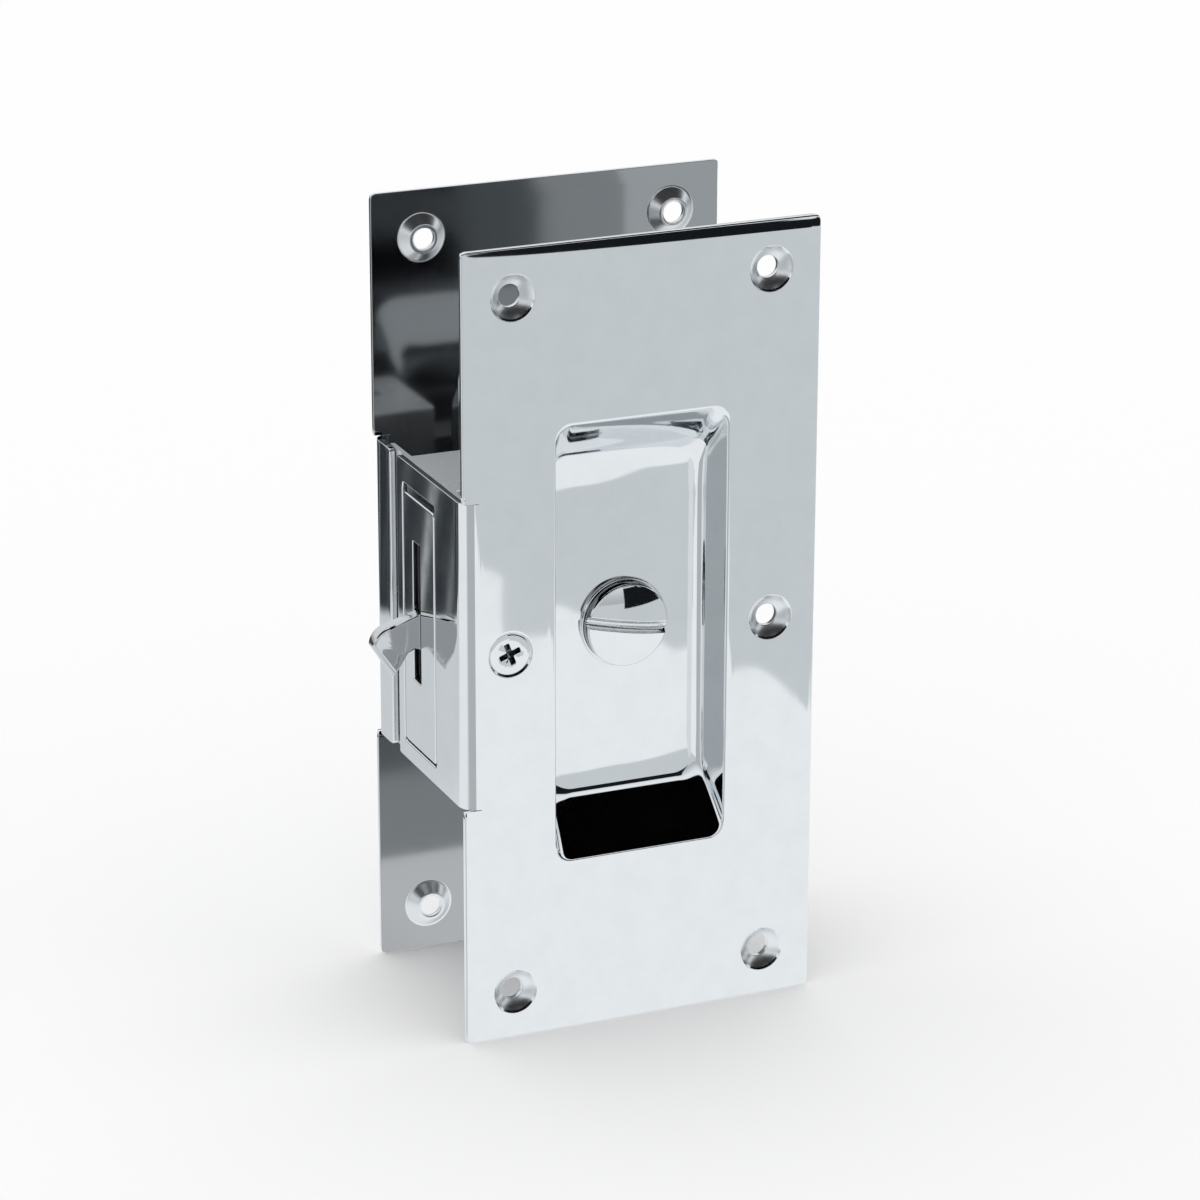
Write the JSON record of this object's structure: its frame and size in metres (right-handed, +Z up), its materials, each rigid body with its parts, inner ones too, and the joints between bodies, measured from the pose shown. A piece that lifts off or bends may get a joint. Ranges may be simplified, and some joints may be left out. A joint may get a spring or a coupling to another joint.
{
  "type": "pocket door lock",
  "caption": "Polished chrome pocket door lock: two flush pull plates, coin-slot release outside, turn piece inside and a swinging hook bolt between them.",
  "frame": {"origin": "centre of the front plate's outer face, on the axis of the turn", "axes": "+X along the door face away from its edge, +Y into the door, +Z up along the plates"},
  "size_m": [0.0862, 0.0501, 0.165],
  "materials": {
    "plate_chrome": "polished chrome plate on pressed sheet",
    "turn_chrome": "polished chrome plate on turned metal",
    "hook_chrome": "polished chrome plate on a cast hook",
    "screw_chrome": "bright plated steel screw",
    "liner_steel": "bright plated folded steel",
    "case_metal": "plain zinc alloy casting",
    "works_steel": "plain steel works",
    "small_steel": "zinc plated steel"
  },
  "bodies": {
    "front_half": {"front_plate": "plate_chrome", "guide_channel": "liner_steel", "rear_bracket": "liner_steel", "channel_rivets": "liner_steel", "case_body": "case_metal", "case_cover": "case_metal", "case_face": "plate_chrome", "cover_screws": "small_steel", "hook_pin": "works_steel", "pivot_spacers": "works_steel", "detent_spring": "works_steel", "outside_bush": "turn_chrome", "front_case_screw": "screw_chrome"},
    "back_half": {"back_plate": "plate_chrome", "inside_bush": "turn_chrome", "back_case_screw": "screw_chrome"},
    "turn_shaft": {"outside_turn": "turn_chrome", "outside_clip": "small_steel", "spindle": "works_steel", "hub": "works_steel"},
    "inside_knob": {"inside_turn": "turn_chrome", "inside_clip": "small_steel"},
    "hook": {"hook_bolt": "hook_chrome"}
  },
  "joints": [
    {"name": "door_thickness", "type": "slide", "parent": "front_half", "child": "back_half", "axis": [0, 1, 0], "range_m": [-0.0033, 0.003]},
    {"name": "turn", "type": "hinge", "parent": "front_half", "child": "turn_shaft", "pos_m": [0, 0, 0], "axis": [0, 1, 0], "range_deg": [-90, 0], "deforming": ["detent_spring"]},
    {"name": "hook_swing", "type": "hinge", "parent": "front_half", "child": "hook", "pos_m": [-0.02357, 0, -0.0045], "axis": [0, 1, 0], "range_deg": [0, 90]},
    {"name": "inside_turning", "type": "hinge", "parent": "back_half", "child": "inside_knob", "pos_m": [0, 0.05015, 0], "axis": [0, 1, 0], "range_deg": [-90, 0]}
  ],
  "couplings": [
    {"joint": "hook_swing", "follows": "turn", "ratio": -1},
    {"joint": "inside_turning", "follows": "turn", "ratio": 1}
  ]
}
